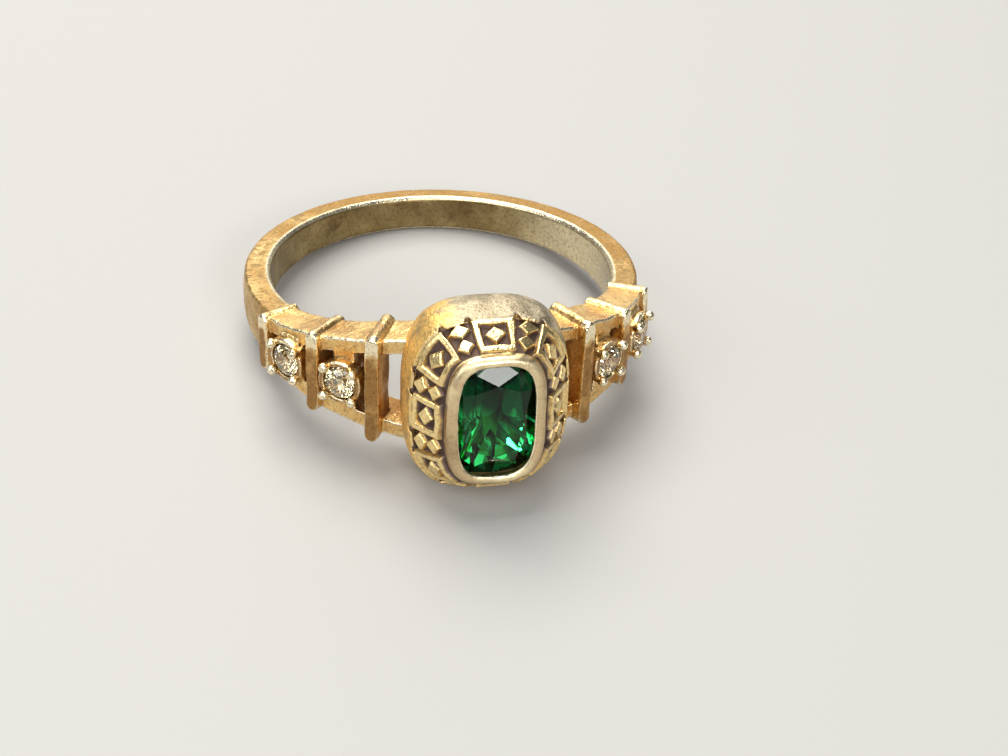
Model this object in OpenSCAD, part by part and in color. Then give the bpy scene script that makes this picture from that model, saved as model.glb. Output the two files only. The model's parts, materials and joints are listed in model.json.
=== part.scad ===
// Class ring lying on its side: one gold casting with a raised head, a bezel-set
// cushion-cut stone and four small round stones in the shoulders. Millimetres.
// Ring frame: origin at the centre of the finger hole, +Z along the finger, head towards -Y.

/* [Finger hole] */
// Inner radius of the ring
bore_r = 8.5; // [7.5:0.25:10.5]

/* [Shank] */
// Metal thickness at the back of the shank
shank_t_back = 1.2; // [0.9:0.05:1.6]
// Metal thickness at the sides of the shank
shank_t_side = 1.3; // [1:0.05:1.8]
// Width along the finger at the back
shank_w_back = 1.85; // [1.4:0.05:3]
// Width along the finger at the sides
shank_w_side = 2.35; // [1.9:0.05:3.2]
// Width along the finger where the shoulders reach the head
shoulder_w = 5.4; // [4.6:0.1:6.4]
// Bevel along the edges of the finger hole
bore_bevel = 0.16; // [0.05:0.01:0.25]
// Rounding along the outer edges
edge_round = 0.18; // [0.1:0.02:0.3]
// Height of the shank's outer crown
shank_dome = 0.08; // [0:0.02:0.2]

/* [Shoulders] */
// Thickness of each rail along the finger
rail_w = 0.75; // [0.5:0.05:0.85]
// Height of the rails above the finger hole in front, under the head
rail_h_front = 2.15; // [2:0.05:2.4]
// Height that the rails would have at the ring's sides
rail_h_side = 1.4; // [1.35:0.05:1.5]
// Width of a cross bar round the ring
bar_w = 0.68; // [0.5:0.02:0.8]
// Open height under the cross bars, from the finger hole
bar_clear = 1; // [0.6:0.1:1.2]
// Angle from the head to the inner bar
inner_bar_angle = 27.2; // [26:0.2:28.4]
// Angle from the head to the middle bar
middle_bar_angle = 44.2; // [43.6:0.2:45]
// Angle from the head to the outer bar
outer_bar_angle = 64.5; // [63:0.5:67]
// Length of the inner bar along the finger
inner_bar_l = 5.4; // [5:0.1:6.4]
// Length of the middle bar along the finger
middle_bar_l = 4.1; // [3.7:0.1:5]
// Length of the outer bar along the finger
outer_bar_l = 2.9; // [2.7:0.1:3.6]
// Height of the inner bar above the finger hole
inner_bar_h = 2.6; // [2.5:0.1:3]
// Height of the middle bar above the finger hole
middle_bar_h = 2.3; // [2.2:0.05:2.6]
// Height of the outer bar above the finger hole
outer_bar_h = 2; // [1.95:0.05:2.4]

/* [Side stones] */
// Diameter of a round side stone
side_stone_d = 1.55; // [1.3:0.05:1.6]
// Wall of a side stone's collet
collet_wall = 0.24; // [0.15:0.01:0.25]
// Height of an inner side stone's girdle above the finger hole
inner_girdle_h = 2.4; // [2.2:0.05:2.7]
// Height of an outer side stone's girdle above the finger hole
outer_girdle_h = 2.2; // [2:0.05:2.5]
// Place of an outer side stone, as a share of the way from the middle bar to the outer bar
outer_stone_place = 0.43; // [0.4:0.01:0.5]
// Height of the collet's rim above the girdle
collet_rim = 0.07; // [0.03:0.01:0.12]
// Radius of a prong's bead
bead_r = 0.2; // [0.16:0.01:0.24]
// Width of the webs that join a collet to the rails
web_w = 1.05; // [0.6:0.05:1.2]
// Height of the webs' underside above the finger hole
web_low = 0.4; // [0.3:0.05:0.7]
// Height of the webs' top above the finger hole
web_high = 1.85; // [1.3:0.05:1.9]

/* [Head] */
// Widest part of the head round the ring
head_w = 7.6; // [7.3:0.1:8.2]
// Widest part of the head along the finger
head_l = 9.2; // [9:0.1:10]
// Width of the ornament border round the ring
rim_w = 7.3; // [7:0.05:7.4]
// Length of the ornament border along the finger
rim_l = 8.75; // [8.4:0.05:8.9]
// Height of the ornament border above the finger hole
rim_h = 3.15; // [2.9:0.05:3.35]
// Width of the border's flat lip
rim_lip = 0.12; // [0.06:0.02:0.2]
// Depth of the ornament field below the border
field_depth = 0.2; // [0.1:0.02:0.3]
// Height of the raised ornament above its field
relief_h = 0.24; // [0.14:0.02:0.32]
// Number of pairs of ornament panels round the head
pair_count = 8; // [7:1:9]
// Share of a pair's length that its framed panel takes
framed_share = 0.62; // [0.56:0.01:0.64]
// Share of a pair's length that its lozenge panel takes
lozenge_share = 0.3; // [0.24:0.01:0.32]
// Width of the strokes of the framed panel
stroke_w = 0.28; // [0.16:0.01:0.3]
// Share of the field's slope that the ornament fills
slope_share = 0.88; // [0.7:0.02:0.9]
// Width of the notches in the border between the panels
notch_w = 0.3; // [0.1:0.02:0.4]
// Length of the notches in the border between the panels
notch_l = 0.7; // [0.3:0.05:0.8]

/* [Centre stone] */
// Width of the centre stone round the ring
stone_w = 3.9; // [3.75:0.05:4]
// Length of the centre stone along the finger
stone_l = 5.9; // [5.6:0.05:6]
// Height of the stone above its girdle
crown_h = 0.5; // [0.4:0.02:0.54]
// Thickness of the stone's girdle
girdle_h = 0.14; // [0.08:0.02:0.2]
// Depth of the stone below its girdle
pavilion_h = 1.7; // [1.4:0.05:1.9]
// Wall of the bezel round the stone
bezel_wall = 0.26; // [0.22:0.01:0.34]
// Height of the bezel's top above the finger hole
bezel_top_h = 4.9; // [4.7:0.05:5.2]
// Height of the bezel's outer wall
bezel_wall_h = 0.45; // [0.35:0.05:0.6]
// How far the bezel's lip reaches over the stone's sides
side_lip = 0.22; // [0.15:0.01:0.3]
// How far the bezel's lip reaches over the stone's ends
end_lip = 0.14; // [0.1:0.01:0.26]
// Thickness of the bezel's lip at its edge
lip_t = 0.16; // [0.1:0.01:0.2]
// How far the stone's table stays below the bezel's top
table_drop = 0.1; // [0.02:0.01:0.14]
// Width of the ledge that the stone sits on
ledge_w = 0.25; // [0.2:0.01:0.3]
// Width of the light hole behind the stone, round the ring
light_w = 2.2; // [1.8:0.1:2.6]
// Length of the light hole behind the stone, along the finger
light_l = 4; // [3.4:0.1:4.4]
// Clearance between a stone and its setting
stone_gap = 0.06; // [0.04:0.01:0.08]

/* [Hidden] */
$fn = 64;

gold = "goldenrod";
green = [0.02, 0.42, 0.2];
clear = [0.85, 0.9, 0.95];

// The outside of the shank is a circle a little off the finger hole's centre
outer_r = bore_r + shank_t_side;
outer_shift = shank_t_side - shank_t_back;
back_y = outer_r - outer_shift;
mid_r = bore_r + shank_t_side / 2;
// The shoulders begin to widen this far in front of the ring's middle and end at an angle from the head
flare_from = 1;
flare_power = 2.4;
flare_angle = 15;
flare_to = mid_r * cos(flare_angle);
// Reach of cuts and blanks past the metal that they meet
over = 0.4;

// Half the width along the finger at the height y in the ring frame
function half_width(y) =
  y > -flare_from
    ? shank_w_side / 2 - (shank_w_side - shank_w_back) / 2 * (y + flare_from) / (back_y + flare_from)
    : shank_w_side / 2 + (shoulder_w - shank_w_side) / 2
      * pow((-y - flare_from) / (flare_to - flare_from), flare_power);

// Outer radius of the shank at an angle from the head
function shank_r(angle) =
  outer_shift * cos(angle) + sqrt(pow(outer_r, 2) - pow(outer_shift * sin(angle), 2));

// Sections through the head's side wall, as shares of the rim's height, head_w and head_l
WALL_HEIGHT = 0;
WALL_WIDTH = 1;
WALL_LENGTH = 2;
head_wall = [
  [-0.30, 0.80, 0.74],
  [ 0.00, 0.87, 0.84],
  [ 0.28, 0.95, 0.94],
  [ 0.54, 1.00, 1.00],
  [ 0.78, 0.985, 0.985]
];
// Corner powers of the head's and the bezel's outlines
head_n = 3;
bezel_n = 3.4;

rim_d = bore_r + rim_h;
top_d = bore_r + bezel_top_h;
foot_d = top_d - bezel_wall_h;
bezel_w = stone_w + 2 * (stone_gap + bezel_wall);
bezel_l = stone_l + 2 * (stone_gap + bezel_wall);
bezel_round = 0.14;
foot_spread = 0.05;

// Sections of the head from the finger side to the bezel's top: [distance, half width, half length, corner power]
valley = [rim_d - field_depth, rim_w / 2 - rim_lip - field_depth / 2, rim_l / 2 - rim_lip - field_depth / 2, head_n];
foot = [foot_d, bezel_w / 2 + foot_spread, bezel_l / 2 + foot_spread, bezel_n];
head_sections = concat(
  [for (s = head_wall) [bore_r + s[WALL_HEIGHT] * rim_h, s[WALL_WIDTH] * head_w / 2, s[WALL_LENGTH] * head_l / 2, head_n]],
  [
    [rim_d, rim_w / 2, rim_l / 2, head_n],
    [rim_d + rim_lip / 2, rim_w / 2 - rim_lip, rim_l / 2 - rim_lip, head_n],
    valley,
    foot,
    [top_d - bezel_round, bezel_w / 2, bezel_l / 2, bezel_n],
    [top_d, bezel_w / 2 - bezel_round, bezel_l / 2 - bezel_round, bezel_n]
  ]
);

// The ring rests on the back edge of the shank and on the head's side wall
rest_y = back_y - edge_round;
rest_z = shank_w_back / 2;
tilt = max([for (s = head_sections) atan((s[2] - rest_z) / (s[0] + rest_y))]);
lift = rest_y * sin(tilt) + rest_z * cos(tilt);
front_reach = max([for (s = head_sections) s[0] * cos(tilt) + s[2] * sin(tilt)]);
back_reach = max(rest_y * cos(tilt) + rest_z * sin(tilt), back_y * cos(tilt) + (rest_z - edge_round) * sin(tilt));

// A point of a rounded rectangle with half sizes a and b and corner power n
function signed_pow(v, p) = sign(v) * pow(abs(v), p);
function outline_point(a, b, n, angle) = [a * signed_pow(cos(angle), 2 / n), b * signed_pow(sin(angle), 2 / n)];

// A closed skin through sections of equal point counts, capped at both ends or joined into a ring
module skin(sections, ring = false) {
  count = len(sections[0]);
  rows = len(sections);
  polyhedron(
    points = [for (s = sections) for (p = s) p],
    faces = concat(
      ring ? [] : [[for (i = [0:count - 1]) i], [for (i = [count - 1:-1:0]) (rows - 1) * count + i]],
      [
        for (k = [0:rows - (ring ? 1 : 2)], i = [0:count - 1], half = [0, 1])
          let (j = (i + 1) % count, low = k * count, high = (k + 1) % rows * count)
            half == 0 ? [low + i, high + i, high + j] : [low + i, high + j, low + j]
      ]
    ),
    convexity = 6
  );
}

// A loft through rounded rectangles given as [height, half width, half length, corner power]
module loft(levels, count = 48) {
  skin([
    for (s = levels) [
      for (i = [0:count - 1])
        let (p = outline_point(s[1], s[2], s[3], 360 * i / count)) [p[0], p[1], s[0]]
    ]
  ]);
}

// Turns local +Z outwards at an angle from the head, with local Y along the finger
module facing(angle) {
  rotate([0, 0, angle]) rotate([90, 0, 0]) children();
}

module rest_pose() {
  translate([0, (front_reach - back_reach) / 2, lift]) rotate([-tilt, 0, 0]) children();
}

// A cut stone with a table, eight kites, stars, girdle facets and a long culet. The kites' corners lie at a
// share of the way out from the middle, and so do the corners of the lower facets
module gem(half, n, table, crown, girdle, pavilion, culet) {
  kite = 0.83;
  kite_rise = crown * (1 - kite * cos(22.5)) / (1 - table);
  low = 0.3;
  low_n = 2.4;
  low_drop = min(pavilion * (1 - low * cos(22.5)) / (1 - culet[0] / half[0]), 0.94 * pavilion);
  corners = [
    for (i = [0:7]) [each outline_point(culet[0], culet[1], 2, 45 * i), -girdle - pavilion],
    for (i = [0:7]) [
      each outline_point(low * half[0], culet[1] + low * (half[1] - culet[1]), low_n, 45 * i + 22.5), -girdle - low_drop
    ],
    for (i = [0:15]) [each outline_point(half[0], half[1], n, 22.5 * i), -girdle],
    for (i = [0:15]) [each outline_point(half[0], half[1], n, 22.5 * i), 0],
    for (i = [0:7]) [each outline_point(kite * half[0], kite * half[1], n, 45 * i + 22.5), kite_rise],
    for (i = [0:7]) [each outline_point(table * half[0], table * half[1], n, 45 * i), crown]
  ];
  CULET = 0;
  LOWER = 8;
  GIRDLE = 16;
  UPPER = 32;
  KITE = 48;
  TABLE = 56;
  polyhedron(
    points = corners,
    faces = concat(
      [[for (i = [0:7]) CULET + i], [for (i = [7:-1:0]) TABLE + i]],
      [
        for (i = [0:7])
          let (j = (i + 1) % 8, g = 2 * i, m = g + 1, e = (g + 2) % 16) each [
            [CULET + i, LOWER + i, CULET + j],
            [CULET + i, GIRDLE + g, LOWER + i],
            [CULET + j, LOWER + i, GIRDLE + e],
            [LOWER + i, GIRDLE + g, GIRDLE + m],
            [LOWER + i, GIRDLE + m, GIRDLE + e],
            [GIRDLE + g, UPPER + g, UPPER + m],
            [GIRDLE + g, UPPER + m, GIRDLE + m],
            [GIRDLE + m, UPPER + m, UPPER + e],
            [GIRDLE + m, UPPER + e, GIRDLE + e],
            [UPPER + g, KITE + i, UPPER + m],
            [UPPER + m, KITE + i, UPPER + e],
            [UPPER + g, TABLE + i, KITE + i],
            [UPPER + e, KITE + i, TABLE + j],
            [TABLE + i, TABLE + j, KITE + i]
          ]
      ]
    ),
    convexity = 4
  );
}

// The middle of the rounded outer edge lies this far in from the corner, both ways
edge_turn = 0.3 * edge_round;

// The plain band, from the finger hole out, before anything is cut or added
module band(steps = 72) {
  skin([
    for (k = [0:steps - 1])
      let (
        angle = 360 * k / steps,
        h = half_width(-mid_r * cos(angle)),
        r = shank_r(angle),
        upper = [
          [bore_r - over, h - bore_bevel - over],
          [bore_r + bore_bevel, h],
          [r - edge_round, h],
          [r - edge_turn, h - edge_turn],
          [r, h - edge_round]
        ],
        lower = [for (i = [len(upper) - 1:-1:0]) [upper[i][0], -upper[i][1]]],
        profile = concat(upper, [[r + shank_dome, 0]], lower)
      )
      [for (p = profile) [p[0] * sin(angle), -p[0] * cos(angle), p[1]]]
  ], ring = true);
}

// A block from one outer bar round the head to the other, inset from the band's sides, out to a distance
// that is given for each angle
shoulder_steps = 24;
module shoulder_block(inset, reach) {
  skin([
    for (k = [0:shoulder_steps])
      let (
        angle = outer_bar_angle * (2 * k / shoulder_steps - 1),
        h = half_width(-mid_r * cos(angle)) - inset,
        r = reach[k]
      )
      [
        for (p = [[bore_r - over, h], [r, h], [r, -h], [bore_r - over, -h]])
          [p[0] * sin(angle), -p[0] * cos(angle), p[1]]
      ]
  ]);
}

// The open space between the rails
module gallery() {
  shoulder_block(rail_w, [for (k = [0:shoulder_steps]) bore_r + inner_bar_h + over]);
}

// The shoulders stand higher than the band, on a circle set forward from the finger hole's centre
shoulder_inset = 0.02;
rail_r = bore_r + rail_h_side;
rail_shift = rail_h_front - rail_h_side;
module shoulders() {
  shoulder_block(shoulder_inset, [
    for (k = [0:shoulder_steps])
      let (angle = outer_bar_angle * (2 * k / shoulder_steps - 1))
      rail_shift * cos(angle) + sqrt(pow(rail_r, 2) - pow(rail_shift * sin(angle), 2))
  ]);
}

// A cross bar with round ends, from inside the finger hole up to its height
module bar(angle, length, height) {
  straight = length / 2 - bar_w / 2;
  ends = [
    for (side = [0, 1], k = [0:6])
      let (turn = 180 * side + 30 * k)
      [bar_w / 2 * cos(turn), (side == 0 ? straight : -straight) + bar_w / 2 * sin(turn)]
  ];
  facing(angle) translate([0, 0, bore_r - over]) linear_extrude(height + over) polygon(ends);
}

module bars() {
  for (side = [-1, 1]) {
    bar(side * inner_bar_angle, inner_bar_l, inner_bar_h);
    bar(side * middle_bar_angle, middle_bar_l, middle_bar_h);
    bar(side * outer_bar_angle, outer_bar_l, outer_bar_h);
  }
}

// The seats of the side stones: [angle from the head, height of the girdle above the finger hole]
SEAT_ANGLE = 0;
SEAT_GIRDLE = 1;
inner_stone_angle = (inner_bar_angle + middle_bar_angle) / 2;
outer_stone_angle = middle_bar_angle + outer_stone_place * (outer_bar_angle - middle_bar_angle);
side_seats = [
  [-inner_stone_angle, inner_girdle_h],
  [-outer_stone_angle, outer_girdle_h],
  [inner_stone_angle, inner_girdle_h],
  [outer_stone_angle, outer_girdle_h]
];
side_r = side_stone_d / 2;
side_crown = 0.16 * side_stone_d;
side_girdle = 0.04 * side_stone_d;
side_pavilion = 0.41 * side_stone_d;
side_ledge = 0.17 * side_r;
// The bead leans over the crown and keeps a little more than the clearance from it
bead_slack = 1.1;
bead_offset = (bead_r + bead_slack * stone_gap) * cos(45);

// The solid blank of a collet and the webs that join it to both rails
module collet(seat) {
  rail = half_width(-mid_r * cos(seat[SEAT_ANGLE])) - rail_w / 2;
  facing(seat[SEAT_ANGLE]) {
    translate([0, 0, bore_r - over])
      cylinder(r = side_r + stone_gap + collet_wall, h = seat[SEAT_GIRDLE] + collet_rim + over);
    translate([-web_w / 2, -rail, bore_r + web_low]) cube([web_w, 2 * rail, web_high - web_low]);
  }
}

// The stone's seat and the light hole behind it
module collet_hole(seat) {
  ledge_drop = side_girdle + side_ledge + stone_gap;
  facing(seat[SEAT_ANGLE]) {
    translate([0, 0, bore_r + seat[SEAT_GIRDLE] - ledge_drop]) cylinder(r = side_r + stone_gap, h = ledge_drop + over);
    translate([0, 0, bore_r - 2 * over]) cylinder(r = side_r - side_ledge, h = seat[SEAT_GIRDLE] + 2 * over);
  }
}

module prongs(seat) {
  facing(seat[SEAT_ANGLE])
    for (turn = [45:90:315])
      rotate(turn) translate([side_r + bead_offset, 0, bore_r + seat[SEAT_GIRDLE]]) {
        translate([0, 0, -2 * over]) cylinder(r = bead_offset - stone_gap, h = 2 * over + bead_offset, $fn = 24);
        translate([0, 0, bead_offset]) sphere(r = bead_r, $fn = 24);
      }
}

// The middle of the ornament field as a path round the head, with its running length
function field_point(angle) =
  let (
    low = outline_point(valley[1], valley[2], valley[3], angle),
    high = outline_point(foot[1], foot[2], foot[3], angle)
  )
  ([low[0], low[1], valley[0]] + [high[0], high[1], foot[0]]) / 2;
field_path = [for (i = [0:180]) field_point(2 * i)];
function running(path, i = 1, sums = [0]) =
  i == len(path) ? sums : running(path, i + 1, concat(sums, [sums[i - 1] + norm(path[i] - path[i - 1])]));
field_run = running(field_path);
field_length = field_run[len(field_run) - 1];
field_turn = [for (i = [0:len(field_run) - 1]) [field_run[i], 2 * i]];
pair_pitch = field_length / pair_count;
framed_w = framed_share * pair_pitch;
lozenge_w = lozenge_share * pair_pitch;
slope_length = norm([valley[1] - foot[1], foot[0] - valley[0]]);
panel_h = slope_share * slope_length;

// Puts local XY on the field with X along it and Y up its slope, at a count of pairs from its side
module on_field(place) {
  angle = lookup((place + pair_count) % pair_count * pair_pitch, field_turn);
  low = outline_point(valley[1], valley[2], valley[3], angle);
  high = outline_point(foot[1], foot[2], foot[3], angle);
  along = field_point(angle + 1) - field_point(angle - 1);
  u = along / norm(along);
  slope = [high[0] - low[0], high[1] - low[1], foot[0] - valley[0]];
  across = slope - (slope * u) * u;
  v = across / norm(across);
  n = cross(u, v);
  p = field_point(angle);
  facing(0) multmatrix([
    [u[0], v[0], n[0], p[0]],
    [u[1], v[1], n[1], p[1]],
    [u[2], v[2], n[2], p[2]],
    [0, 0, 0, 1]
  ]) children();
}

function lozenge(w, h) = [[-w / 2, 0], [0, -h / 2], [w / 2, 0], [0, h / 2]];

// A frame round a lozenge
module framed_panel() {
  difference() {
    square([framed_w, panel_h], center = true);
    square([framed_w - 2 * stroke_w, panel_h - 2 * stroke_w], center = true);
  }
  polygon(lozenge(framed_w - 3 * stroke_w, panel_h - 3 * stroke_w));
}

// Two lozenges, one above the other, that fill a share of the panel's height together
lozenge_fill = 0.92;
module lozenge_panel() {
  for (side = [-1, 1])
    translate([0, side * panel_h / 4]) polygon(lozenge(lozenge_w, lozenge_fill * panel_h / 2));
}

// All that lies under the ornament's surface, a little past the field at both ends. The ends are given as
// [share of the way up the slope, corner power]
raised_ends = [[-0.2, head_n], [1.1, bezel_n]];
module raised_field() {
  up = relief_h * (valley[1] - foot[1]) / slope_length;
  out = relief_h * (foot[0] - valley[0]) / slope_length;
  facing(0) loft([
    for (end = raised_ends)
      let (s = valley + end[0] * (foot - valley)) [s[0] + up, s[1] + out, s[2] + out, end[1]]
  ]);
}

// The panels' roots go this deep, so that they reach the field where it curves away
relief_root = 0.6;
module ornament() {
  intersection() {
    raised_field();
    for (pair = [0:pair_count - 1]) {
      on_field(pair) translate([0, 0, -relief_root]) linear_extrude(relief_root + relief_h + over) framed_panel();
      on_field(pair + 0.5) translate([0, 0, -relief_root]) linear_extrude(relief_root + relief_h + over) lozenge_panel();
    }
  }
}

// A pointed notch in the border beside each framed panel
module border_notches() {
  beside = (1 + framed_share - lozenge_share) / 4;
  for (pair = [0:pair_count - 1], side = [-1, 1])
    on_field(pair + side * beside) translate([0, 0, -field_depth / 2]) linear_extrude(2 * over)
      polygon([[-notch_w / 2, -panel_h / 2], [notch_w / 2, -panel_h / 2], [0, -panel_h / 2 - notch_l]]);
}

girdle_top = top_d - crown_h - table_drop;
// The ledge lies under the stone's slope by this many clearances, measured across
ledge_slack = 2.5;

// The room for the centre stone: a light hole, a ledge, the stone's walls and the opening in the lip
module stone_pocket() {
  half = [stone_w / 2, stone_l / 2];
  seat = half + [stone_gap, stone_gap];
  ledge = half - [ledge_w, ledge_w];
  opening = half - [side_lip, end_lip];
  light = [light_w / 2, light_l / 2];
  ledge_d = girdle_top - girdle_h - (ledge_w + ledge_slack * stone_gap) * pavilion_h / half[0];
  facing(0) loft([
    [bore_r - over, each light, bezel_n],
    [girdle_top - girdle_h - pavilion_h, each light, bezel_n],
    [ledge_d, each ledge, bezel_n],
    [ledge_d, each seat, bezel_n],
    [girdle_top + stone_gap, each seat, bezel_n],
    [top_d - lip_t, each opening, bezel_n],
    [top_d + over, each opening, bezel_n]
  ]);
}

module ring_casting() {
  color(gold) rest_pose() {
    difference() {
      union() {
        difference() {
          union() {
            band();
            shoulders();
          }
          gallery();
        }
        difference() {
          bars();
          intersection() {
            gallery();
            cylinder(r = bore_r + bar_clear, h = 2 * shoulder_w, center = true);
          }
        }
        for (seat = side_seats) collet(seat);
        facing(0) loft(head_sections);
        ornament();
      }
      cylinder(r = bore_r, h = 2 * head_l, center = true, $fn = 144);
      for (seat = side_seats) collet_hole(seat);
      border_notches();
      stone_pocket();
    }
    for (seat = side_seats) prongs(seat);
  }
}

// Shares of the cut stones: the table, and the culet's half sizes
centre_table = 0.62;
centre_culet = [0.12 * stone_w, 0.18 * stone_l];
side_table = 0.57;
side_culet = 0.06 * side_r;

module centre_stone() {
  color(green) rest_pose() facing(0) translate([0, 0, girdle_top])
    gem([stone_w / 2, stone_l / 2], bezel_n, centre_table, crown_h, girdle_h, pavilion_h, centre_culet);
}

module side_stone(seat) {
  color(clear) rest_pose() facing(seat[SEAT_ANGLE]) translate([0, 0, bore_r + seat[SEAT_GIRDLE]])
    gem([side_r, side_r], 2, side_table, side_crown, side_girdle, side_pavilion, [side_culet, side_culet]);
}

module side_stone_left_inner() side_stone(side_seats[0]);
module side_stone_left_outer() side_stone(side_seats[1]);
module side_stone_right_inner() side_stone(side_seats[2]);
module side_stone_right_outer() side_stone(side_seats[3]);

ring_casting();
centre_stone();
side_stone_left_inner();
side_stone_left_outer();
side_stone_right_inner();
side_stone_right_outer();
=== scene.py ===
# Class ring lying on its side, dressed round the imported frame: one worn gold casting with a raised
# ornamented head, a green stone in a bezel and four clear stones between the bars of the shoulders.
import json
import math

import bpy
import bmesh
import numpy as np
from mathutils import Matrix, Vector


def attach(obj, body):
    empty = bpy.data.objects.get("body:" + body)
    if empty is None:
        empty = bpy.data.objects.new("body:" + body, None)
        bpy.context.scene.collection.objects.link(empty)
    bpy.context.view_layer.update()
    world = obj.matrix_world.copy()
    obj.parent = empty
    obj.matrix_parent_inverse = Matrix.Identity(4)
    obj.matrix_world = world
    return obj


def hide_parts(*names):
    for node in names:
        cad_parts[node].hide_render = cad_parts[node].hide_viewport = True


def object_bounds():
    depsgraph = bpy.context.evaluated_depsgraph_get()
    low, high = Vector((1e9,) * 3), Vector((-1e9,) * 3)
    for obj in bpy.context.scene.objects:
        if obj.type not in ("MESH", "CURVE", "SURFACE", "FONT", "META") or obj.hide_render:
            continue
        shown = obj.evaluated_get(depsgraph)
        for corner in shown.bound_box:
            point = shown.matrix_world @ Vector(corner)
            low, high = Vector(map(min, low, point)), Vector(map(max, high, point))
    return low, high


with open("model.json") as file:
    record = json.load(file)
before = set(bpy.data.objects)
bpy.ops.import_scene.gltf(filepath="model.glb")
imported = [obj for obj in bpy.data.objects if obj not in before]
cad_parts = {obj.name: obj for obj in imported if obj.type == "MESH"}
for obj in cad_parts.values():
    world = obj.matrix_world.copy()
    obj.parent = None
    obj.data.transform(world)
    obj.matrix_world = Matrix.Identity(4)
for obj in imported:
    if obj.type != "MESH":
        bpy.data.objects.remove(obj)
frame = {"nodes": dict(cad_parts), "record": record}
cadBox = [list(corner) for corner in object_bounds()]
print("frame loaded")

mm = 0.001

# The finger hole's mount gives its radius and how the ring lies on the floor
holeMount = frame["record"]["mounts"][0]
holeCentre = np.array(holeMount["pos_m"], float)
holeAxis = np.array(holeMount["axis"], float)

# The band's sizes in millimetres, as in the part's source
ring = {
    "holeR": float(holeMount["dims"]["r_mm"]),
    "backThickness": 1.2,
    "sideThickness": 1.3,
    "backWidth": 1.85,
    "sideWidth": 2.35,
    "shoulderWidth": 5.4,
    "flareFrom": 1.0,  # how far in front of the finger axis the band starts to widen
    "flarePower": 2.4,
    "flareEndAngle": 15.0,
}
outerR = ring["holeR"] + ring["sideThickness"]
outerShift = ring["sideThickness"] - ring["backThickness"]
backY = outerR - outerShift
middleR = ring["holeR"] + ring["sideThickness"] / 2
flareTo = middleR * math.cos(math.radians(ring["flareEndAngle"]))


# Ring frame in millimetres to the row frame in metres: the finger axis leans from +Z towards +Y
def toRow(points):
    x, y, z = points[..., 0], points[..., 1], points[..., 2]
    leanSin, leanCos = holeAxis[1], holeAxis[2]
    turned = np.stack([x, y * leanCos + z * leanSin, -y * leanSin + z * leanCos], -1)
    return turned * mm + holeCentre


# The same for a piece's points, held inside the CAD model's box
def toRowInBox(points):
    return np.clip(toRow(points), cadBox[0], cadBox[1])


# A point at an angle from the head, a distance from the finger axis and a height along it
def onRing(angle, radius, height):
    angle, radius, height = np.broadcast_arrays(angle, radius, height)
    return np.stack([radius * np.sin(angle), -radius * np.cos(angle), height], -1)


# Half the band's width at an angle: a straight taper at the back, a power curve in front
def halfWidth(angle):
    y = -middleR * np.cos(angle)
    start, side = ring["flareFrom"], ring["sideWidth"]
    back = side - (side - ring["backWidth"]) * (y + start) / (backY + start)
    reach = np.clip((-y - start) / (flareTo - start), 0, None)
    front = side + (ring["shoulderWidth"] - side) * reach ** ring["flarePower"]
    return np.where(y > -start, back, front) / 2


# Outer radius of the shank: a circle a little off the finger hole's centre
def shankR(angle):
    return outerShift * np.cos(angle) + np.sqrt(outerR**2 - (outerShift * np.sin(angle)) ** 2)


# From 0 at the low value to 1 at the high one: three times the squared share less twice its cube
def smoothStep(low, high, value):
    share = np.clip((value - low) / (high - low), 0, 1)
    return share * share * (3 - 2 * share)


waves = {
    "gain": 2.2,  # brings the mean of the sine waves to about -1 to 1
    "stretch": (0.6, 1.6),
    "slow": (2.2, 1.7, 1.2),  # wavelengths of wear along each axis
    "fine": (0.45, 0.4, 0.35),
    "fineCount": 24,
}


# Gentle lumps: the mean of sine waves in seeded directions, times the gain
def lumps(points, wavelength, seed, count=9):
    dice = np.random.default_rng(seed)
    directions = dice.normal(size=(count, 3))
    stretch = dice.uniform(*waves["stretch"], (count, 1))
    directions *= (2 * np.pi / wavelength) * stretch / np.linalg.norm(directions, axis=1, keepdims=True)
    phases = dice.uniform(0, 2 * np.pi, count)
    return np.sin(points @ directions.T + phases).mean(-1) * waves["gain"]


# Marks of wear and casting: a slow waver and finer lumps along each axis, in millimetres
def worn(points, seed, depth, fineDepth):
    slow = [lumps(points, size, seed + k) for k, size in enumerate(waves["slow"])]
    fine = [lumps(points, size, seed + 5 + k, waves["fineCount"]) for k, size in enumerate(waves["fine"])]
    return points + depth * np.stack(slow, -1) + fineDepth * np.stack(fine, -1)


# Quads between neighbouring points of a grid, with either direction closed on request
def gridQuads(rows, columns, closeRows, closeColumns):
    row = np.arange(rows if closeRows else rows - 1)[:, None]
    column = np.arange(columns if closeColumns else columns - 1)[None, :]
    nextRow, nextColumn = (row + 1) % rows, (column + 1) % columns
    corners = [row * columns + column, row * columns + nextColumn]
    corners += [nextRow * columns + nextColumn, nextRow * columns + column]
    return np.stack(np.broadcast_arrays(*corners), -1).reshape(-1, 4)


# A profile carried along a path: sections[k, i] is point i of section k, and an open path gets flat ends
def sweep(sections, closed=False):
    rows, count = sections.shape[:2]
    faces = gridQuads(rows, count, closed, True).tolist()
    if not closed:
        faces += [list(range(count))[::-1], list(range((rows - 1) * count, rows * count))]
    return sections.reshape(-1, 3), faces


# Shells put into one list: each shell's faces count on from the points before it
def joined(shells):
    points = np.concatenate([shell[0] for shell in shells])
    faces = []
    start = 0
    for shellPoints, shellFaces in shells:
        faces += [[index + start for index in face] for face in shellFaces]
        start += len(shellPoints)
    return points, faces


# A mesh of points and faces, with every face turned outwards
def makeMesh(name, points, faces):
    mesh = bpy.data.meshes.new(name)
    mesh.from_pydata(points.tolist(), [], faces)
    work = bmesh.new()
    work.from_mesh(mesh)
    bmesh.ops.recalc_face_normals(work, faces=work.faces)
    work.to_mesh(mesh)
    work.free()
    return mesh


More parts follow.
